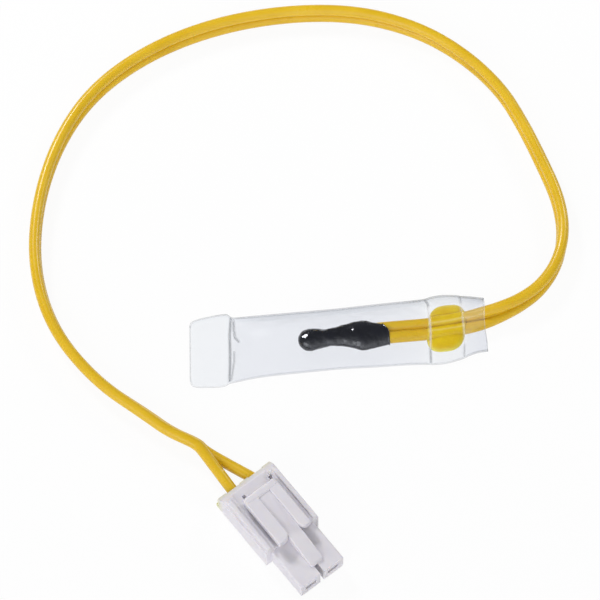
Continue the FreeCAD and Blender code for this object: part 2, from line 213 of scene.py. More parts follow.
def mixShaders(material, share, first, second):
    mix = addNode(material, "ShaderNodeMixShader")
    for socket, value in zip(mix.inputs, (share, first, second)):
        link(material, value, socket)
    link(material, mix.outputs[0], material.node_tree.nodes["Material Output"].inputs["Surface"])


def addBump(material, shader, height, strength, depth):
    bump = addNode(material, "ShaderNodeBump")
    bump.inputs["Strength"].default_value = strength
    bump.inputs["Distance"].default_value = depth
    link(material, height, bump.inputs["Height"])
    link(material, bump.outputs["Normal"], shader.inputs["Normal"])


def addAttribute(material, name):
    return addNode(material, "ShaderNodeAttribute", attribute_name=name).outputs["Fac"]


def insulationMaterial():
    material, shader = newMaterial("yellowInsulation", (0.74, 0.47, 0.015), 0.32)
    patches = addNoise(material, 7 * mm, 3)
    color = mixColors(material, addRange(material, patches, 0, 1), (0.73, 0.46, 0.01), (0.785, 0.51, 0.02))
    link(material, color, shader.inputs["Base Color"])
    link(material, addRange(material, addNoise(material, 3 * mm), 0.26, 0.36), shader.inputs["Roughness"])
    shader.inputs["Subsurface Weight"].default_value = 0.12
    shader.inputs["Subsurface Radius"].default_value = (1.0, 0.6, 0.1)
    shader.inputs["Subsurface Scale"].default_value = 0.6 * mm
    shader.inputs["Specular IOR Level"].default_value = 0.4
    shader.inputs["Coat Weight"].default_value = 0.1
    shader.inputs["Coat Roughness"].default_value = 0.16
    addBump(material, shader, addNoise(material, 2.4 * mm), 0.06, 0.04 * mm)
    return material


def nylonMaterial():
    material, shader = newMaterial("whiteNylon", (0.72, 0.7, 0.755), 0.42)
    patches = addNoise(material, 5 * mm, 2)
    color = mixColors(material, addRange(material, patches, 0, 1), (0.74, 0.715, 0.77), (0.77, 0.75, 0.79))
    place = addNode(material, "ShaderNodeTexCoord")
    forward = addNode(material, "ShaderNodeVectorMath", operation="DOT_PRODUCT")
    heading = Vector(plugMatrix().col[0][:3])
    forward.inputs[1].default_value = heading
    link(material, place.outputs["Object"], forward.inputs[0])
    start = heading.dot(Vector((*plugSet["place"], 0)))
    # painted light: the yellow glow of the wires showing through the nylon at its rear rim
    rim = addRange(material, forward.outputs["Value"], 1, 0, start + 1.2 * mm, start + 3.2 * mm)
    parts = addNode(material, "ShaderNodeSeparateXYZ")
    link(material, place.outputs["Object"], parts.inputs[0])
    low = addRange(material, parts.outputs["Z"], 0.9, 0, 3.5 * mm, 6.5 * mm)
    rim = addMath(material, "MULTIPLY", rim, low)      # painted yellow glow of the wires on the rear rim, low down
    color = mixColors(material, rim, color, (0.66, 0.66, 0.3))
    link(material, color, shader.inputs["Base Color"])
    link(material, addRange(material, addNoise(material, 0.6 * mm), 0.36, 0.48), shader.inputs["Roughness"])
    shader.inputs["Subsurface Weight"].default_value = 0.3
    shader.inputs["Subsurface Radius"].default_value = (1.0, 0.85, 0.62)
    shader.inputs["Subsurface Scale"].default_value = 0.9 * mm
    addBump(material, shader, addNoise(material, 0.5 * mm), 0.04, 0.02 * mm)
    return material


def epoxyMaterial():
    material, shader = newMaterial("blackEpoxy", (0.011, 0.011, 0.014), 0.12)
    patches = addNoise(material, 2.5 * mm, 4)
    color = mixColors(material, addRange(material, patches, 0, 1),
                      (0.002, 0.0025, 0.006), (0.006, 0.0065, 0.013))
    link(material, color, shader.inputs["Base Color"])
    link(material, addRange(material, addNoise(material, 1.1 * mm, 3), 0.09, 0.2), shader.inputs["Roughness"])
    shader.inputs["Specular IOR Level"].default_value = 0.6
    shader.inputs["Coat Weight"].default_value = 0.8
    shader.inputs["Coat Roughness"].default_value = 0.05
    addBump(material, shader, addNoise(material, 1.1 * mm, 3), 0.5, 0.14 * mm)
    return material


def compoundMaterial():
    material, shader = newMaterial("sealCompound", (0.66, 0.49, 0.012), 0.2)
    # painted light: the blob turns paler where light shows through its thin rim
    paintedRimGlow = addRange(material, addAttribute(material, "paintedRimGlow"), 0, 1, 0, 1)
    patches = addRange(material, addNoise(material, 2.2 * mm, 2), 0, 1)
    core = mixColors(material, patches, (0.74, 0.49, 0.0), (0.8, 0.58, 0.002))
    color = mixColors(material, paintedRimGlow, core, (0.82, 0.72, 0.12))
    # painted shade along the grooves, partly the thicker compound there, and painted highlights along the
    # wire ridges
    for name, tone in (("grooveTintAndShade", (0.5, 0.26, 0.0)), ("paintedShine", (0.95, 0.82, 0.3))):
        color = mixColors(material, addRange(material, addAttribute(material, name), 0, 1, 0, 1), color, tone)
    link(material, color, shader.inputs["Base Color"])
    link(material, addRange(material, addNoise(material, 0.8 * mm), 0.14, 0.28), shader.inputs["Roughness"])
    shader.inputs["Specular IOR Level"].default_value = 0.3
    shader.inputs["Subsurface Weight"].default_value = 0.25
    shader.inputs["Subsurface Radius"].default_value = (1.0, 0.8, 0.1)
    shader.inputs["Subsurface Scale"].default_value = 0.8 * mm
    addBump(material, shader, addNoise(material, 1.0 * mm), 0.15, 0.06 * mm)
    return material


def filmMaterial():
    material, shader = newMaterial("clearFilm", (0.4, 0.42, 0.45), 0.14)
    # painted highlights: the film's colour turns white along the creases beside the lead
    paintedSheen = addRange(material, addAttribute(material, "paintedSheen"), 0, 1, 0, 1)
    color = mixColors(material, paintedSheen, (0.36, 0.38, 0.41), (0.86, 0.86, 0.88))
    link(material, color, shader.inputs["Base Color"])
    link(material, addRange(material, addNoise(material, 1.2 * mm), 0.1, 0.2), shader.inputs["Roughness"])
    addBump(material, shader, addNoise(material, 2.5 * mm, 2, (0.4, 1, 1)), 0.25, 0.1 * mm)
    veil = addRange(material, addAttribute(material, "veil"), 0, 1, 0, 1)
    tint = mixColors(material, veil, (0.99, 0.995, 0.998), (0.936, 0.943, 0.962))
    rays = addNode(material, "ShaderNodeLightPath")        # light reaches what is inside
    passing = addMath(material, "MAXIMUM", rays.outputs["Is Shadow Ray"], rays.outputs["Is Diffuse Ray"])
    tint = mixColors(material, passing, tint, (1, 1, 1))
    clear = addNode(material, "ShaderNodeBsdfTransparent")
    link(material, tint, clear.inputs["Color"])
    facing = addNode(material, "ShaderNodeLayerWeight")
    facing.inputs["Blend"].default_value = 0.5
    rim = addMath(material, "POWER", facing.outputs["Facing"], 2.5)
    rim = addMath(material, "MULTIPLY", rim, 0.55)
    crease = addMath(material, "MULTIPLY", addAttribute(material, "crease"), 0.72)
    solid = addMath(material, "ADD", addMath(material, "ADD", rim, crease), 0.008)
    solid = addMath(material, "MINIMUM", solid, 0.85)
    solid = addMath(material, "MULTIPLY", solid, addRange(material, passing, 1, 0.2, 0, 1))
    mixShaders(material, solid, clear.outputs[0], shader.outputs[0])
    return material


def metalMaterial(name, dull, bright, roughness):
    material, shader = newMaterial(name, bright, roughness)
    shader.inputs["Metallic"].default_value = 1.0
    patches = addRange(material, addNoise(material, 0.7 * mm, 3), 0, 1)
    link(material, mixColors(material, patches, dull, bright), shader.inputs["Base Color"])
    spread = addRange(material, addNoise(material, 0.3 * mm), 0.8 * roughness, 1.25 * roughness)
    link(material, spread, shader.inputs["Roughness"])
    addBump(material, shader, addNoise(material, 0.2 * mm), 0.15, 0.02 * mm)
    return material


def ceramicMaterial():
    material, shader = newMaterial("thermistorCeramic", (0.2, 0.19, 0.18), 0.5)
    patches = addRange(material, addNoise(material, 0.5 * mm, 3), 0, 1)
    color = mixColors(material, patches, (0.16, 0.15, 0.14), (0.25, 0.23, 0.21))
    link(material, color, shader.inputs["Base Color"])
    addBump(material, shader, addNoise(material, 0.25 * mm), 0.3, 0.03 * mm)
    return material


def dressNodes():
    tinned = metalMaterial("tinnedWire", (0.62, 0.62, 0.63), (0.75, 0.75, 0.76), 0.3)
    solder = metalMaterial("solderJoint", (0.5, 0.5, 0.52), (0.68, 0.68, 0.7), 0.38)
    copper = metalMaterial("copperStrands", (0.75, 0.36, 0.2), (0.88, 0.48, 0.28), 0.32)
    contact = metalMaterial("tinnedContact", (0.66, 0.66, 0.66), (0.8, 0.79, 0.77), 0.26)
    dress = {"thermistor_bead": ceramicMaterial()}
    for letter in "ab":
        dress["bead_lead_" + letter] = tinned
        dress["solder_joint_" + letter] = solder
        dress["strand_tip_" + letter] = copper
        dress["strand_end_" + letter] = copper
        dress["contact_" + letter] = contact
    for name, material in dress.items():
        node = bpy.data.objects[name]
        node.data.materials.clear()
        node.data.materials.append(material)
    print("inner pieces dressed")


# Twin lead: the middle of the bonded pair as x, y, z in mm and the roll of wire a about wire b

wireSet = {
    "diameter": 2.5 * mm,
    "pitch": 2.6 * mm,
    "lengthA": 323.7 * mm,
    "lengthB": 324.9 * mm,
    "mouth": (33.2 * mm, 1.5 * mm, 2.45 * mm),
    "webThickness": 0.9 * mm,
    "webReach": 0.3 * mm,      # from the middle into each wire
    "webStart": 9.5 * mm,      # along the sleeve, inside the dip coat
    "loopSide": 10 * mm,       # the lead is out on its loop behind this line
    "webGap": 2.75 * mm,       # the web ends where the wires are further apart than this
}

pairRoute = [
    (6.0, 0.0, 2.2, 180),
    (13.0, 0.0, 2.2, 180),
    (19.5, -0.1, 2.2, 180),
    (25.0, 0.2, 2.2, 177),
    (29.0, 0.7, 2.25, 167),
    (32.5, 1.35, 2.45, 146),
    (36.0, 2.3, 2.6, 122),
    (40.5, 4.0, 2.6, 107),
    (45.7, 7.2, 2.55, 98),
    (50.3, 13.0, 2.55, 91),
    (52.7, 20.5, 2.55, 86),
    (52.5, 29.0, 2.55, 86),
    (50.0, 38.5, 2.55, 88),
    (47.0, 48.5, 2.55, 90),
    (43.1, 58.2, 2.55, 93),
    (35.5, 68.0, 2.55, 91),
    (25.6, 75.8, 2.55, 88),
    (12.4, 81.1, 2.55, 85),
    (-3.5, 82.7, 2.55, 84),
    (-20.4, 81.0, 2.55, 81),
    (-36.3, 75.6, 2.55, 82),
    (-49.6, 66.6, 2.55, 85),
    (-58.5, 54.2, 2.55, 89),
    (-64.0, 39.3, 2.55, 90),
    (-65.9, 23.5, 2.55, 87),
    (-62.8, 8.0, 2.55, 80),
    (-54.0, -5.6, 2.5, 74),
    (-43.8, -14.4, 2.46, 68),
    (-39.0, -18.9, 2.46, 68),
    (-33.2, -22.3, 2.46, 68),
]
splitRouteA = [(-32.0, -25.1, 3.8), (-29.4, -29.6, 3.6)]
splitRouteB = [(-32.0, -23.6, 1.27), (-26.2, -28.3, 2.2)]


# Plug: its own axes are x forward, y across and z up

plugSet = {
    "place": (-24.9 * mm, -31.5 * mm),
    "heading": -57.5,
    "cavityPitch": 6.0 * mm,
    "cavityHeight": 3.2 * mm,
    "entryA": (2.46 * mm, -3.03 * mm),     # where each wire turns towards its contact
    "entryB": (3.9 * mm, 3.16 * mm),
    "wireEnd": 6.6 * mm,
}


def plugMatrix():
    place = Matrix.Translation((*plugSet["place"], 0))
    return place @ Matrix.Rotation(math.radians(plugSet["heading"]), 4, "Z")


def wirePoints(side):
    middles = [Vector(point[:3]) * mm for point in pairRoute]
    points = []
    for index, middle in enumerate(middles):
        before = middles[max(index - 1, 0)]
        after = middles[min(index + 1, len(middles) - 1)]
        along = Vector((after.x - before.x, after.y - before.y, 0)).normalized()
        outward = Vector((along.y, -along.x, 0))
        roll = math.radians(pairRoute[index][3])
        reach = outward * math.cos(roll) + Vector((0, 0, math.sin(roll)))
        points.append(middle + reach * side * wireSet["pitch"] / 2)
    points += [Vector(point) * mm for point in (splitRouteA if side > 0 else splitRouteB)]
    entry = plugSet["entryA"] if side > 0 else plugSet["entryB"]
    contact = (plugSet["wireEnd"], -side * plugSet["cavityPitch"] / 2)
    for forward, across in (entry, contact):
        points.append(plugMatrix() @ Vector((forward, across, plugSet["cavityHeight"])))
    return points


def routeCurve(name, points, radius):
    data = bpy.data.curves.new(name, "CURVE")
    data.dimensions = "3D"
    spline = data.splines.new("NURBS")
    spline.points.add(len(points) - 1)
    for place, point in zip(spline.points, points):
        place.co = (*point, 1)
    spline.order_u = 3
    spline.use_endpoint_u = True
    data.resolution_u = 10
    data.bevel_depth = radius
    data.bevel_resolution = 6
    data.use_fill_caps = True
    curve = bpy.data.objects.new(name, data)
    bpy.context.collection.objects.link(curve)
    return curve


def centreLine(points):
    # the smooth line of a wire, read from its spline
    holder = routeCurve("centreLine", points, 0.0)
    mesh = bpy.data.meshes.new_from_object(holder)
    line = [vertex.co.copy() for vertex in mesh.vertices]
    bpy.data.meshes.remove(mesh)
    bpy.data.objects.remove(holder)
    return line


def makeWeb(material):
    lineA, lineB = centreLine(wirePoints(1)), centreLine(wirePoints(-1))
    pairs = [(a, b) for a, b in zip(lineA, lineB) if a.x > wireSet["webStart"]
             or a.y > wireSet["loopSide"] or a.x < 0]
    bonded = []
    for a, b in pairs:
        if (a - b).length > wireSet["webGap"]:
            break
        bonded.append((a, b))
    vertices = []
    for index, (a, b) in enumerate(bonded):
        before, after = bonded[max(index - 1, 0)], bonded[min(index + 1, len(bonded) - 1)]
        along = (after[0] + after[1] - before[0] - before[1]).normalized()
        across = (a - b).normalized() * wireSet["webReach"]
        over = along.cross(across).normalized() * wireSet["webThickness"] / 2
        middle = (a + b) / 2
        vertices += [middle + across + over, middle - across + over, middle - across - over,
                     middle + across - over]
    faces = [(3, 2, 1, 0)]
    for ring in range(0, len(vertices) - 4, 4):
        for corner in range(4):
            following = (corner + 1) % 4
            faces.append((ring + corner, ring + following, ring + 4 + following, ring + 4 + corner))
    last = len(vertices) - 4
    faces.append((last, last + 1, last + 2, last + 3))
    mesh = bpy.data.meshes.new("bondWeb")
    mesh.from_pydata(vertices, [], faces)
    web = bpy.data.objects.new("bondWeb", mesh)
    bpy.context.collection.objects.link(web)
    recalculate(web)
    web.data.materials.append(material)
    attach(web, "root")
    return web


def makeWires(plug):
    material = insulationMaterial()
    web = makeWeb(material)
    for side, letter in ((1, "A"), (-1, "B")):
        wire = routeCurve("leadWire" + letter, wirePoints(side), wireSet["diameter"] / 2)
        wire.data.materials.append(material)
        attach(wire, "root")
        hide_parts("wire_" + letter.lower())
    print("wires made")


# Clear sleeve, in mm. Stations: place along it, back edge, front edge, side fold, crown, slant and veil

sleeveSet = {
    "around": 104,
    "underShare": 0.34,        # shares of the columns under the tube and in each side fold
    "foldShare": 0.1,
    "step": 0.62,
    "fineStep": 0.17,
    "fine": [(-33.2, -32.4), (-25.6, -21.6), (18.8, 21.0), (26.6, 28.2), (31.8, 32.7)],
    "wall": 0.27,
    "mouthStart": 29.5,
    "edgeSpread": 0.5,         # radians round a side fold that look creased
    "tabRim": (32.9, 33.1),    # each rim shows past these distances from the middle
    "tabRimShows": 0.5,
    "mouthRim": (32.4, 32.6),
    "mouthRimShows": 0.45,
    "ripples": (((0.12, 0.3), 3.0, 0.22), ((0.45, 0.6), 9.0, 0.09)),       # scales, seed and height
    "rippleHeights": (0.8, 3.0),           # they grow between these heights of the film
    "dentHeight": 0.9,         # creases grow shallow below this height
    "mouthWave": 0.3,          # the open end waves, lies back and is cut roughly
    "mouthTurn": 0.45,
    "mouthPeak": 6.0,
    "mouthBack": 0.35,
    "mouthRough": 0.2,
    "paintedSheenStart": (18.0, 19.0),             # creases carry a painted sheen from here on, beside the lead
    "paintedSheenHalf": 4.7,
    "paintedSheenFade": 0.8,
    "paintedSheenNarrow": (27.5, 29.5),
    "paintedSheenNarrowing": 0.45,
    "leadTurns": 24.0,         # from here the lead bends to the back
    "leadBend": 0.05,
}

sleeveStations = [
    (-33.12, 6.7, -6.3, 0.36, 0.78, 0.08, 0.25),
    (-33.0, 7.25, -7.0, 0.38, 0.84, 0.08, 0.27),
    (-32.5, 7.75, -7.75, 0.4, 0.92, 0.08, 0.3),
    (-31.4, 8.15, -8.2, 0.42, 1.05, 0.08, 0.33),
    (-29.3, 8.5, -8.42, 0.42, 1.2, 0.085, 0.36),
    (-27.0, 8.78, -8.6, 0.42, 1.28, 0.095, 0.37),
    (-25.2, 8.8, -8.52, 0.42, 1.15, 0.105, 0.37),
    (-24.6, 8.5, -8.25, 0.42, 1.0, 0.108, 0.45),
    (-24.1, 7.95, -7.97, 0.42, 1.0, 0.108, 0.6),
    (-23.4, 7.75, -7.87, 0.46, 1.25, 0.105, 0.68),
    (-22.0, 7.66, -7.72, 0.6, 2.05, 0.09, 0.76),
    (-18.5, 7.57, -7.35, 0.8, 3.35, 0.05, 0.8),
    (-14.0, 7.5, -7.2, 0.9, 4.3, 0.02, 0.82),
    (-8.0, 7.48, -7.15, 0.9, 4.7, 0.0, 0.84),
    (0.0, 7.45, -7.12, 0.9, 4.75, 0.0, 0.84),
    (8.0, 7.62, -7.45, 0.9, 4.7, 0.0, 0.8),
    (14.0, 7.72, -7.6, 0.88, 4.62, 0.0, 0.7),
    (18.2, 7.8, -7.85, 0.8, 4.5, 0.01, 0.55),
    (19.9, 8.02, -8.02, 0.65, 4.3, 0.02, 0.42),
    (21.0, 8.33, -8.06, 0.66, 4.45, 0.03, 0.38),
    (23.4, 8.5, -8.05, 0.68, 4.55, 0.045, 0.38),
    (26.4, 8.2, -7.45, 0.66, 4.4, 0.055, 0.45),
    (27.35, 7.93, -7.2, 0.65, 4.3, 0.06, 0.55),
    (28.4, 7.7, -6.8, 0.78, 4.55, 0.06, 0.7),
    (30.5, 7.25, -6.25, 0.9, 5.3, 0.05, 0.9),
    (32.6, 6.75, -6.15, 0.95, 6.0, 0.04, 1.0),
]

# How much the folded edges show: place along the sleeve, at the back and at the front
sleeveEdges = [
    (-33.12, 0.5, 0.4),
    (-31.0, 0.6, 0.3),
    (-28.0, 0.75, 0.35),
    (-25.0, 0.95, 0.3),
    (-23.5, 0.9, 0.3),
    (-20.0, 0.5, 0.15),
    (-12.0, 0.35, 0.1),
    (0.0, 0.3, 0.12),
    (14.0, 0.4, 0.15),
    (19.0, 0.85, 0.3),
    (24.0, 0.6, 0.25),
    (28.0, 0.8, 0.3),
    (32.6, 0.6, 0.6),
]

# Creases pressed into the top layer: points in plan, depth, width and how much they show
sleeveCreases = [
    ([(-23.25, 8.2), (-23.95, 3.5), (-24.2, -0.2), (-24.55, -4.0), (-25.05, -8.2)], 0.3, 0.2, 1.0),
    ([(-22.8, 6.9), (-23.0, 4.6), (-22.9, 2.6), (-22.2, 1.4)], 0.3, 0.2, 0.75),
    ([(-23.4, -0.8), (-23.6, -3.0), (-24.1, -5.3), (-24.6, -7.2)], 0.16, 0.2, 0.6),
    ([(19.8, 8.2), (20.3, 6.1), (20.15, 2.2), (20.0, -1.6), (19.6, -5.0), (19.5, -8.2)], 0.32, 0.18, 0.85),
    ([(27.8, 8.2), (27.55, 5.0), (27.4, 2.0), (27.35, -3.1), (26.9, -8.0)], 0.26, 0.19, 0.55),
]


def stationPlaces():
    start, end = sleeveStations[0][0], sleeveStations[-1][0]
    places = [start]
    while places[-1] < end:
        here = places[-1]
        fine = any(low <= here <= high for low, high in sleeveSet["fine"])
        places.append(here + (sleeveSet["fineStep"] if fine else sleeveSet["step"]))
    places[-1] = end
    return places


def distanceTo(line, x, y):
    # distance in plan from a point to a line of points
    nearest = 99.0
    for (x0, y0), (x1, y1) in zip(line, line[1:]):
        length = (x1 - x0) ** 2 + (y1 - y0) ** 2
        t = min(max(((x - x0) * (x1 - x0) + (y - y0) * (y1 - y0)) / length, 0.0), 1.0)
        nearest = min(nearest, math.hypot(x - x0 - t * (x1 - x0), y - y0 - t * (y1 - y0)))
    return nearest


def foldShows(strength, angle):
    return strength * math.exp(-(angle / sleeveSet["edgeSpread"]) ** 2)


def filmRipple(x, y):
    total = 0.0
    for (along, across), seed, height in sleeveSet["ripples"]:
        total += noise.noise(Vector((along * x, across * y, seed))) * height
    return total


def mouthShift(y):
    wave = sleeveSet["mouthWave"] * math.cos(sleeveSet["mouthTurn"] * (y - sleeveSet["mouthPeak"]))
    return wave - sleeveSet["mouthBack"] + sleeveSet["mouthRough"] * noise.noise(Vector((0.5 * y, 0, 5)))


def paintedSheenBeside(x, y):
    # how much painted sheen the creases carry, by their distance from the lead
    narrow = sleeveSet["paintedSheenNarrowing"] * shareBetween(x, *sleeveSet["paintedSheenNarrow"])
    beside = sleeveSet["paintedSheenHalf"] * (1 - narrow)
    away = abs(y - sleeveSet["leadBend"] * max(x - sleeveSet["leadTurns"], 0.0) ** 1.5)
    faded = shareBetween(away, beside, beside + sleeveSet["paintedSheenFade"])
    return shareBetween(x, *sleeveSet["paintedSheenStart"]) * (1 - faded)


def filmPoint(place, turn):
    # point of the film at a place along the sleeve and a share of the way round it
    back, front, fold, crown, slant, veil = rowAt(sleeveStations, place)
    half = (back - front) / 2
    middle = (back + front) / 2
    reach = half - fold
    radius = (reach ** 2 + (crown - fold) ** 2 - fold ** 2) / (2 * (crown - 2 * fold))
    tilt = math.atan2(reach, fold - crown + radius)
    under, side = sleeveSet["underShare"], sleeveSet["foldShare"]
    edges = rowAt(sleeveEdges, place)
    top = False
    crease = 0.0
    if turn < under:
        y, z = reach * (2 * turn / under - 1), 0.0
    elif turn < under + side:
        angle = math.pi - (math.pi - tilt) * (turn - under) / side
        y, z = reach + fold * math.sin(angle), fold + fold * math.cos(angle)
        crease = foldShows(edges[0], angle - math.pi / 2)
    elif turn <= 1 - side:
        share = (turn - under - side) / (1 - under - 2 * side)
        angle = tilt * (1 - 2 * share)
        y, z = radius * math.sin(angle), crown - radius + radius * math.cos(angle)
        y = y * (reach + fold * math.sin(tilt)) / (radius * math.sin(tilt))
        top = True
    else:
        angle = -tilt - (math.pi - tilt) * (turn - 1 + side) / side
        y, z = -reach + fold * math.sin(angle), fold + fold * math.cos(angle)
        crease = foldShows(edges[1], angle + math.pi / 2)
    x = place + slant * y
    y += middle
    crease += sleeveSet["tabRimShows"] * shareBetween(-place, *sleeveSet["tabRim"])
    crease += sleeveSet["mouthRimShows"] * shareBetween(place, *sleeveSet["mouthRim"])
    if top:
        for line, depth, width, shown in sleeveCreases:
            away = distanceTo(line, x, y) / width
            if away < 3:
                z -= depth * math.exp(-away ** 2) * min(1.0, z / sleeveSet["dentHeight"])
                crease = max(crease, shown * math.exp(-(1.4 * away) ** 2))
        z += filmRipple(x, y) * shareBetween(z, *sleeveSet["rippleHeights"])
        x += shareBetween(place, sleeveSet["mouthStart"], sleeveStations[-1][0]) * mouthShift(y)
    # painted sheen: creases beside the lead turn white, and a faint white sheen lies over the lead near the
    # mouth
    paintedSheen = paintedSheenBeside(x, y)
    if top:
        crease = max(crease * (1 - 0.3 * paintedSheen), 0.06 * paintedSheen * shareBetween(x, 27.0, 28.0))
    return x, y, max(z, 0.0), crease, veil, paintedSheen


def makeSleeve():
    places = stationPlaces()
    around = sleeveSet["around"]
    bpy.ops.mesh.primitive_grid_add(x_subdivisions=len(places) - 1, y_subdivisions=around, size=1)
    sleeve = bpy.context.object
    sleeve.name = sleeve.data.name = "clearSleeve"
    mesh = sleeve.data
    creases, veils, paintedSheens = [], [], []
    for vertex in mesh.vertices:
        row = round((vertex.co.x + 0.5) * (len(places) - 1))
        turn = round((vertex.co.y + 0.5) * around) / around
        x, y, z, crease, veil, paintedSheen = filmPoint(places[row], turn)
        vertex.co = Vector((x, y, z)) * mm
        creases.append(crease)
        veils.append(veil)
        paintedSheens.append(paintedSheen)
    for name, values in (("crease", creases), ("veil", veils), ("paintedSheen", paintedSheens)):
        mesh.attributes.new(name, "FLOAT", "POINT").data.foreach_set("value", values)
    recalculate(sleeve)
    tabEnd = (sleeveStations[0][0] + 1.0) * mm
    selectEdges(sleeve, lambda a, b: False)
    bpy.ops.mesh.select_non_manifold(extend=False)
    bpy.ops.object.mode_set(mode="OBJECT")
    for edge in mesh.edges:
        ends = [mesh.vertices[index].co for index in edge.vertices]
        edge.select = edge.select and ends[0].x < tabEnd and ends[1].x < tabEnd
    for vertex in mesh.vertices:
        vertex.select = vertex.select and vertex.co.x < tabEnd
    bpy.ops.object.mode_set(mode="EDIT")
    bpy.ops.mesh.edge_face_add()
    bpy.ops.object.mode_set(mode="OBJECT")
    recalculate(sleeve)
    finishWith(sleeve, "SOLIDIFY", thickness=sleeveSet["wall"] * mm, offset=-1.0, use_even_offset=False)
    bpy.ops.object.shade_smooth_by_angle(angle=math.radians(50))
    sleeve.data.materials.append(filmMaterial())
    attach(sleeve, "root")
    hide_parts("sleeve")
    print("sleeve made")


# Black dip coat, in mm. Rows: place along it, half width at the back and at the front, half height

dipSet = {
    "height": 2.2,             # its axis above the floor
    "around": 80,
    "rings": 110,
    "crowding": 0.35,          # share by which the rings crowd towards both ends
    "rough": 0.09,
    "lumps": ((0.55, 1.6), (1.3, 0.7)),    # scale and height
    "lumpyFrom": (0.5, 1.5),   # half widths between which the lumps grow
    "calmEnd": (8.0, 10.5),    # and places between which they fade
    "calming": 0.6,
    "lean": 0.42,              # the back of its end lies further from the lead
    "leanStart": (5.0, 10.5),
}

dipRows = [
    (-9.15, 0.0, 0.0, 0.0),
    (-9.08, 0.6, 0.62, 0.45),
    (-8.8, 1.25, 1.3, 0.95),
    (-8.2, 1.95, 2.0, 1.4),
    (-7.4, 2.4, 2.45, 1.65),
    (-6.4, 2.6, 2.6, 1.75),
    (-5.0, 2.46, 2.36, 1.7),
    (-2.6, 2.16, 1.94, 1.5),
    (-0.5, 2.36, 2.05, 1.5),
    (1.8, 2.92, 2.52, 1.64),
    (4.6, 3.46, 3.6, 1.8),
    (6.8, 3.3, 3.5, 1.78),
    (8.6, 2.85, 3.2, 1.7),
    (9.8, 2.6, 3.0, 1.66),
    (10.6, 2.4, 2.85, 1.6),
    (11.0, 2.1, 2.7, 1.5),
    (11.1, 0.0, 0.0, 0.0),
]


def makeDip():
    bpy.ops.mesh.primitive_uv_sphere_add(segments=dipSet["around"], ring_count=dipSet["rings"], radius=1)
    dip = bpy.context.object
    dip.name = dip.data.name = "dippedBody"
    start, end = dipRows[0][0], dipRows[-1][0]
    for vertex in dip.data.vertices:
        share = math.acos(min(max(-vertex.co.z, -1.0), 1.0)) / math.pi
        angle = math.atan2(vertex.co.y, vertex.co.x)
        crowded = (1 - math.cos(math.pi * share)) / 2
        share = crowded * dipSet["crowding"] + (1 - dipSet["crowding"]) * share
        x = start + (end - start) * share
        back, front, high = rowAt(dipRows, x)
        pole = vertex.co.x ** 2 + vertex.co.y ** 2 < 1e-10
        wide = 0.0 if pole else (back if math.cos(angle) > 0 else front)
        y = wide * math.cos(angle)
        z = 0.0 if pole else high * math.sin(angle)
        here = Vector((x, y, z))
        calm = 1 - dipSet["calming"] * shareBetween(x, *dipSet["calmEnd"])
        rough = dipSet["rough"] * shareBetween(wide, *dipSet["lumpyFrom"]) * calm
        bumps = sum(noise.noise(here * scale) * height for scale, height in dipSet["lumps"])
        out = Vector((0, y, z)).normalized() if y or z else Vector()
        here += out * rough * bumps
        here.x -= dipSet["lean"] * shareBetween(x, *dipSet["leanStart"]) * max(0.0, y + 0.3) ** 1.3
        here.z += dipSet["height"]
        vertex.co = here * mm
    recalculate(dip)
    bpy.ops.object.shade_smooth()
    dip.data.materials.append(epoxyMaterial())
    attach(dip, "root")
    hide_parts("epoxy_body")
    print("dip coat made")


# Seal bead, in mm: a flattened blob pressed round both wires

beadSet = {
    "middle": (23.75, -0.1),
    "halfLength": 4.35,
    "halfWidth": 5.5,
    "lean": 0.17,
    "squareness": 2.9,
    "roundness": 0.72,         # power of the side's rounding in height
    "low": 0.45,
    "floor": 0.3,
    "thickness": 2.75,
    "cover": 0.28,             # compound over each wire
    "coverFrom": (0.1, 0.5),   # it comes in between these shares of the blob's height
    "coverMost": 1.0,
    # shares of the blob's height over which the painted glow of its thin rim fades
    "thinRim": (0.05, 0.6),
    "lumpScale": 0.7,
    "lumpHeight": 0.08,
    "cuts": 63,
    # lines along the wires: the darker ones are painted shade in the grooves, partly the thicker amber
    # compound there, and the paler ones are painted highlights on the ridges; each gives place from the
    # middle of the pair, width and strength
    "grooveTintsAndShades": [(0.0, 0.17, 0.8), (2.65, 0.24, 0.5), (-2.75, 0.28, 0.2)],
    "paintedShines": [(0.75, 0.2, 0.5), (-1.1, 0.22, 0.4)],
}


def wireInSleeve(side):
    return [point for point in centreLine(wirePoints(side)) if point.y < wireSet["loopSide"]]


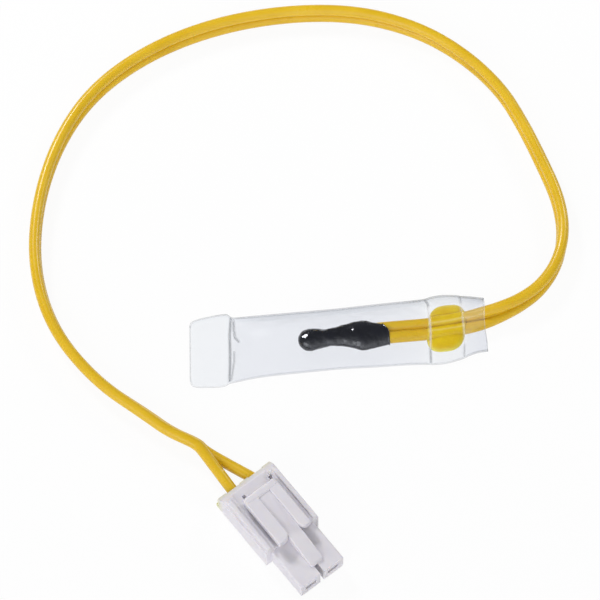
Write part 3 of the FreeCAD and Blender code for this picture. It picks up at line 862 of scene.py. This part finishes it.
def makeBead():
    bpy.ops.mesh.primitive_cube_add(size=2)
    bead = bpy.context.object
    bead.name = bead.data.name = "sealBlob"
    bpy.ops.object.mode_set(mode="EDIT")
    bpy.ops.mesh.subdivide(number_cuts=beadSet["cuts"])
    bpy.ops.object.mode_set(mode="OBJECT")
    finishWith(bead, "CAST", factor=1.0, size=1.0, use_radius_as_size=False)
    lines = [wireInSleeve(side) for side in (1, -1)]
    reach = wireSet["diameter"] / 2 / mm + beadSet["cover"]
    power = beadSet["squareness"]
    paintedRimGlow, grooveTintsAndShades, paintedShines = [], [], []
    for vertex in bead.data.vertices:
        unit = vertex.co.normalized()
        flat = math.hypot(unit.x, unit.y)
        stretch = flat / (abs(unit.x) ** power + abs(unit.y) ** power) ** (1 / power) if flat > 1e-6 else 1.0
        y = beadSet["halfWidth"] * unit.y * stretch
        x = beadSet["middle"][0] + beadSet["halfLength"] * unit.x * stretch + beadSet["lean"] * y
        y += beadSet["middle"][1]
        half = beadSet["thickness"] / 2
        lift = abs(unit.z) ** beadSet["roundness"]
        z = beadSet["low"] + half + math.copysign(half * lift, unit.z)
        grooveTintAndShade = paintedShine = 0.0
        if unit.z > 0:
            middle = 0.0
            for line in lines:
                near = min(line, key=lambda point: abs(point.x / mm - x))
                middle += near.y / mm / 2
                away = (y - near.y / mm) / reach
                if abs(away) < 1:
                    cover = near.z / mm + reach * math.sqrt(1 - away ** 2)
                    share = shareBetween(lift, *beadSet["coverFrom"])
                    z = max(z, min(cover, z + beadSet["coverMost"]) * share + z * (1 - share))
            # painted shade in the grooves, partly thicker compound, and painted highlights on the ridges
            grooveTintAndShade, paintedShine = [max(shown * math.exp(-((y - middle - place) / width) ** 2)
                                 for place, width, shown in beadSet[name]) for name in ("grooveTintsAndShades", "paintedShines")]
        z += beadSet["lumpHeight"] * noise.noise(Vector((x, y, unit.z)) * beadSet["lumpScale"])
        vertex.co = Vector((x, y, max(z, beadSet["floor"]))) * mm
        paintedRimGlow.append(1 - shareBetween(abs(unit.z), *beadSet["thinRim"]))
        grooveTintsAndShades.append(grooveTintAndShade)
        paintedShines.append(paintedShine)
    for name, values in (("paintedRimGlow", paintedRimGlow), ("grooveTintAndShade", grooveTintsAndShades), ("paintedShine", paintedShines)):
        bead.data.attributes.new(name, "FLOAT", "POINT").data.foreach_set("value", values)
    recalculate(bead)
    finishWith(bead, "SMOOTH", factor=0.4, iterations=1)
    bpy.ops.object.shade_smooth()
    bead.data.materials.append(compoundMaterial())
    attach(bead, "root")
    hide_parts("seal_bead")
    print("seal bead made")


# Plug housing, in mm and in the plug's own axes

housingSet = {
    "rear": 1.3,
    "front": 28.6,
    "railEnd": 18.4,
    "halfWidth": 7.1,
    "shoulderHeight": 6.3,
    "ridgeOut": 6.6,
    "ridgeIn": 5.6,
    "ridgeHeight": 8.2,
    "slotSide": 4.7,
    "ledgeHeight": 7.3,
    "deckHeight": 6.4,
    "slopeLength": 4.0,
    "slopeDrop": 3.4,
    "towerRoot": 1.0,          # inside the rail body
    "towerHalfWidth": 5.7,
    "towerLow": 0.6,
    "towerTop": 5.8,
    "towerRounding": 0.5,
    "tipChamfer": 0.35,
    "gapWidth": 1.0,
    "gapDepth": 3.3,
    "gapRound": 0.3,
    "skirtOut": 0.5,           # low skirt behind the rear
    "skirtIn": 0.4,
    "skirtInset": 0.02,
    "skirtLow": 0.01,
    "skirtTop": 1.25,
    "round": 0.17,             # soft edges of the moulding, and finer ones on towers and skirt
    "fineRound": 0.12,
}

latchSet = {
    "bar": ((6.2, -3.95), (8.0, 4.4)),         # corners in plan, as for the fingers and the rib
    "barTop": 9.5,
    "barRound": 0.55,
    "fingers": (((6.9, -4.05), (19.1, -1.0)), ((6.9, 2.05), (19.1, 4.5))),
    "fingerLow": 7.2,
    "fingerTop": 9.35,
    "fingerRound": 1.5,
    "rib": ((6.6, -1.15), (26.4, 2.15)),
    "ribTop": 9.15,            # it falls from the bar to the finger ends, and on to its nose
    "ribStep": 8.2,
    "noseTop": 6.5,
}

cavitySet = {
    "offset": 3.0,
    "height": 3.2,
    "width": 3.9,
    "frontWall": 2.2,
    "mouthWidth": 2.8,
    "mouthHeight": 1.5,
    "windowStart": 19.6,
    "windowEnd": 22.6,
    "windowWidth": 2.2,
    "pockets": ((5.0, -2.6), (4.9, 4.6)),      # behind the bar
    "pocketWidth": 0.75,
    "pocketLow": 5.6,
}


def plugBlock(name, low, high):
    middle = [(a + b) / 2 * mm for a, b in zip(low, high)]
    bpy.ops.mesh.primitive_cube_add(size=1, location=middle, scale=[(b - a) * mm for a, b in zip(low, high)])
    block = bpy.context.object
    block.name = name
    settle(block)
    return block


def soften(piece, width, segments=3):
    finishWith(piece, "BEVEL", width=width * mm, segments=segments, limit_method="ANGLE",
               angle_limit=math.radians(25))


def combine(piece, others, operation):
    for other in others:
        finishWith(piece, "BOOLEAN", object=other, operation=operation, solver="EXACT")
        bpy.data.objects.remove(other)


def makeRailBody():
    shape = housingSet
    block = plugBlock("railBody", (shape["rear"], -shape["halfWidth"], 0),
                      (shape["railEnd"], shape["halfWidth"], shape["shoulderHeight"]))
    bpy.ops.object.mode_set(mode="EDIT")
    for place in (shape["ridgeOut"], shape["ridgeIn"], shape["slotSide"]):
        for side in (1, -1):
            bpy.ops.mesh.select_all(action="SELECT")
            bpy.ops.mesh.bisect(plane_co=(0, side * place * mm, 0), plane_no=(0, 1, 0))
    levels = ((0, shape["ridgeOut"], shape["shoulderHeight"], shape["deckHeight"]),
              (shape["slotSide"], shape["ridgeOut"], shape["deckHeight"], shape["ledgeHeight"]),
              (shape["ridgeIn"], shape["ridgeOut"], shape["ledgeHeight"], shape["ridgeHeight"]))
    for inner, outer, start, end in levels:
        selectFaces(block, lambda c, n: n.z > 0.9 and inner * mm <= abs(c.y) < outer * mm
                    and c.z > start * mm - 1e-6)
        bpy.ops.mesh.extrude_region_move(TRANSFORM_OT_translate={"value": (0, 0, (end - start) * mm)})
    bpy.ops.mesh.select_all(action="SELECT")
    corner = Vector((shape["rear"], 0, shape["ridgeHeight"] - shape["slopeDrop"])) * mm
    bpy.ops.mesh.bisect(plane_co=corner, plane_no=(-shape["slopeDrop"], 0, shape["slopeLength"]),
                        use_fill=True, clear_outer=True)
    bpy.ops.mesh.select_all(action="SELECT")
    bpy.ops.mesh.dissolve_limited(angle_limit=math.radians(0.5))
    bpy.ops.object.mode_set(mode="OBJECT")
    recalculate(block)
    soften(block, shape["round"])
    return block


def makeTowers():
    shape = housingSet
    root = shape["railEnd"] - shape["towerRoot"]
    towers = plugBlock("towers", (root, -shape["towerHalfWidth"], shape["towerLow"]),
                       (shape["front"], shape["towerHalfWidth"], shape["towerTop"]))
    selectEdges(towers, lambda a, b: abs(a.x - b.x) > 5 * mm)
    bpy.ops.mesh.bevel(offset=shape["towerRounding"] * mm, segments=5)
    bpy.ops.object.mode_set(mode="OBJECT")
    gap = plugBlock("towerGap", (shape["front"] - shape["gapDepth"], -shape["gapWidth"] / 2, -1),
                    (shape["front"] + 1, shape["gapWidth"] / 2, 9))
    selectEdges(gap, lambda a, b: abs(a.z - b.z) > 5 * mm and a.x < (shape["front"] - 1) * mm)
    bpy.ops.mesh.bevel(offset=shape["gapRound"] * mm, segments=4)
    bpy.ops.object.mode_set(mode="OBJECT")
    combine(towers, [gap], "DIFFERENCE")
    for side in (1, -1):
        combine(towers, [makeCavity(side)], "DIFFERENCE")
    soften(towers, shape["fineRound"], 2)
    return towers


def makeCavity(side):
    shape = cavitySet
    across = side * shape["offset"]
    front = housingSet["front"]
    half = shape["width"] / 2
    room = plugBlock("contactRoom", (-1, across - half, shape["height"] - half),
                     (front - shape["frontWall"], across + half, shape["height"] + half))
    mouth = plugBlock("bladeMouth",
                      (front - shape["frontWall"] - 0.5, across - shape["mouthWidth"] / 2,
                       shape["height"] - shape["mouthHeight"] / 2),
                      (front + 1, across + shape["mouthWidth"] / 2,
                       shape["height"] + shape["mouthHeight"] / 2))
    window = plugBlock("catchWindow", (shape["windowStart"], across - shape["windowWidth"] / 2, -1),
                       (shape["windowEnd"], across + shape["windowWidth"] / 2, shape["height"]))
    combine(room, [mouth, window], "UNION")
    return room


def makeLatch():
    shape = latchSet
    (rear, right), (front, left) = shape["bar"]
    bar = plugBlock("thumbBar", (rear, right, housingSet["deckHeight"] - 0.3), (front, left, shape["barTop"]))
    soften(bar, shape["barRound"], 5)
    (rear, right), (front, left) = shape["rib"]
    rib = plugBlock("middleRib", (rear, right, housingSet["towerTop"] - 0.6), (front, left, shape["ribTop"]))
    step = shape["fingers"][0][1][0]
    bpy.ops.object.mode_set(mode="EDIT")
    bpy.ops.mesh.select_all(action="SELECT")
    bpy.ops.mesh.bisect(plane_co=(step * mm, 0, 0), plane_no=(1, 0, 0))
    for place, top in ((step, shape["ribStep"]), (front, shape["noseTop"])):
        selectEdges(rib, lambda a, b: max(abs(a.x / mm - place), abs(b.x / mm - place)) < 0.1
                    and min(a.z, b.z) > (shape["ribTop"] - 0.1) * mm)
        bpy.ops.transform.translate(value=(0, 0, (top - shape["ribTop"]) * mm))
    selectEdges(rib, lambda a, b: min(a.x, b.x) > (front - 0.1) * mm)
    bpy.ops.mesh.bevel(offset=0.5 * mm, segments=5)
    bpy.ops.object.mode_set(mode="OBJECT")
    soften(rib, 0.2, 3)
    parts = [rib]
    for (rear, right), (front, left) in shape["fingers"]:
        finger = plugBlock("finger", (rear, right, shape["fingerLow"]), (front, left, shape["fingerTop"]))
        inner = (left if right < 0 else right) * mm
        selectEdges(finger, lambda a, b: abs(a.z - b.z) > 1 * mm and a.x > (front - 0.1) * mm
                    and abs(a.y - inner) < 0.1 * mm)
        bpy.ops.mesh.bevel(offset=shape["fingerRound"] * mm, segments=8)
        bpy.ops.object.mode_set(mode="OBJECT")
        soften(finger, 0.28, 4)
        parts.append(finger)
    combine(bar, parts, "UNION")
    return bar


def makeHousing():
    housing = makeRailBody()
    rooms = [makeCavity(side) for side in (1, -1)]
    half = cavitySet["pocketWidth"] / 2
    for forward, across in cavitySet["pockets"]:
        rooms.append(plugBlock("mouldPocket", (forward - half, across - half, cavitySet["pocketLow"]),
                               (forward + half, across + half, 9)))
    combine(housing, rooms, "DIFFERENCE")
    rear, side = housingSet["rear"], housingSet["halfWidth"] - housingSet["skirtInset"]
    skirt = plugBlock("rearSkirt", (rear - housingSet["skirtOut"], -side, housingSet["skirtLow"]),
                      (rear + housingSet["skirtIn"], side, housingSet["skirtTop"]))
    soften(skirt, housingSet["fineRound"], 2)
    combine(housing, [skirt, makeTowers(), makeLatch()], "UNION")
    housing.name = housing.data.name = "plugHousing"
    recalculate(housing)
    bpy.ops.object.shade_smooth_by_angle(angle=math.radians(32))
    finishWith(housing, "WEIGHTED_NORMAL", keep_sharp=True)
    housing.matrix_world = plugMatrix()
    settle(housing)
    housing.data.materials.clear()
    housing.data.materials.append(nylonMaterial())
    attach(housing, "root")
    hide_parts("housing")
    print("housing made")
    return housing


# Floor, room and lights: place and size in metres, power in watts

stageSet = {
    "floorGlow": 0.93,         # share of plain white that is seen on the floor
    "roomFront": (-0.3, -0.93, 0.2),       # the studio is brightest this way
    "roomDim": 0.13,
    "roomBright": 1.75,
    "roomFocus": 5.0,
    "lights": (("topLight", (-0.3, 0.5, 0.5), 0.16, 2.75),
               ("rightLight", (0.5, 0.35, 0.4), 0.18, 1.4),
               ("frontLight", (-0.45, -0.45, 0.45), 0.4, 0.8)),
}


def seenRays(material):
    # 1 for what the camera sees, directly or in metal and glass
    rays = addNode(material, "ShaderNodeLightPath")
    share = addMath(material, "MAXIMUM", rays.outputs["Is Camera Ray"], rays.outputs["Is Glossy Ray"])
    return addMath(material, "MAXIMUM", share, rays.outputs["Is Transmission Ray"])


def makeRoom():
    world = bpy.data.worlds.new("studio")
    world.use_nodes = True
    background = world.node_tree.nodes["Background"]
    background.inputs["Color"].default_value = (1, 1, 1, 1)
    way = addNode(world, "ShaderNodeTexCoord")
    toFront = addNode(world, "ShaderNodeVectorMath", operation="DOT_PRODUCT")
    toFront.inputs[1].default_value = Vector(stageSet["roomFront"]).normalized()
    link(world, way.outputs["Generated"], toFront.inputs[0])
    share = addMath(world, "MULTIPLY_ADD", toFront.outputs["Value"], 0.5)
    share.node.inputs[2].default_value = 0.5
    focus = addMath(world, "POWER", share, stageSet["roomFocus"])
    strength = addMath(world, "MULTIPLY_ADD", focus, stageSet["roomBright"])
    strength.node.inputs[2].default_value = stageSet["roomDim"]
    rays = addNode(world, "ShaderNodeLightPath")
    seen = addMath(world, "MAXIMUM", rays.outputs["Is Camera Ray"], rays.outputs["Is Transmission Ray"])
    mix = addNode(world, "ShaderNodeMix", data_type="FLOAT")
    link(world, seen, mix.inputs[0])
    link(world, strength, mix.inputs[2])
    mix.inputs[3].default_value = 1.0
    link(world, mix.outputs[0], background.inputs["Strength"])
    bpy.context.scene.world = world


def makeStage():
    bpy.ops.mesh.primitive_plane_add(size=4, location=(0, 0, 0))
    floor = bpy.context.object
    floor.name = "floor"
    material, shader = newMaterial("paleFloor", (0.9, 0.9, 0.91), 0.6)
    shader.inputs["Specular IOR Level"].default_value = 0.1
    glow = addNode(material, "ShaderNodeEmission")
    share = addMath(material, "MULTIPLY", seenRays(material), stageSet["floorGlow"])
    mixShaders(material, share, shader.outputs[0], glow.outputs[0])
    floor.data.materials.append(material)
    makeRoom()
    for name, place, size, power in stageSet["lights"]:
        bpy.ops.object.light_add(type="AREA", location=place)
        light = bpy.context.object
        light.name = name
        light.data.size = size
        light.data.energy = power
        light.rotation_euler = (-Vector(place)).to_track_quat("-Z", "Y").to_euler()
    bpy.context.scene.view_settings.view_transform = "Standard"
    print("stage set")


bpy.ops.object.select_all(action="DESELECT")
makeCamera()
makeWires(makeHousing())
dressNodes()
makeDip()
makeBead()
makeSleeve()
makeStage()
